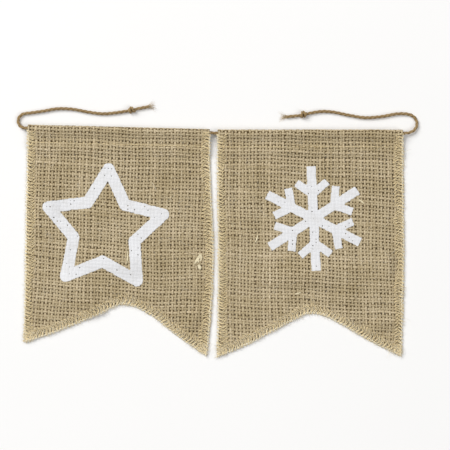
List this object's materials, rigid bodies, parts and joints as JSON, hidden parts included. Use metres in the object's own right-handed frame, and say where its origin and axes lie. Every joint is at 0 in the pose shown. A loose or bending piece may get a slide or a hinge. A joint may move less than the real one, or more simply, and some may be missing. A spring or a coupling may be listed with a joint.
{
  "type": "hessian flag bunting on a twine",
  "caption": "Swallow-tailed hessian flags side by side on a jute twine, hemmed round it, edges overlocked, a plain white painted motif on each, lying flat.",
  "frame": {"origin": "middle of the two flags' outline, on the surface that they lie on", "axes": "+X along the twine from the left flag to the right, +Y from the points to the hems, +Z out of the printed faces"},
  "size_m": [0.289, 0.1813, 0.0057],
  "materials": {
    "hessian": "matte",
    "jute_twine": "matte",
    "overlock_thread": "matte",
    "white_paint": "matte"
  },
  "bodies": {
    "root": {"flag_left": "hessian", "flag_right": "hessian", "hanging_twine": "jute_twine"}
  },
  "joints": []
}
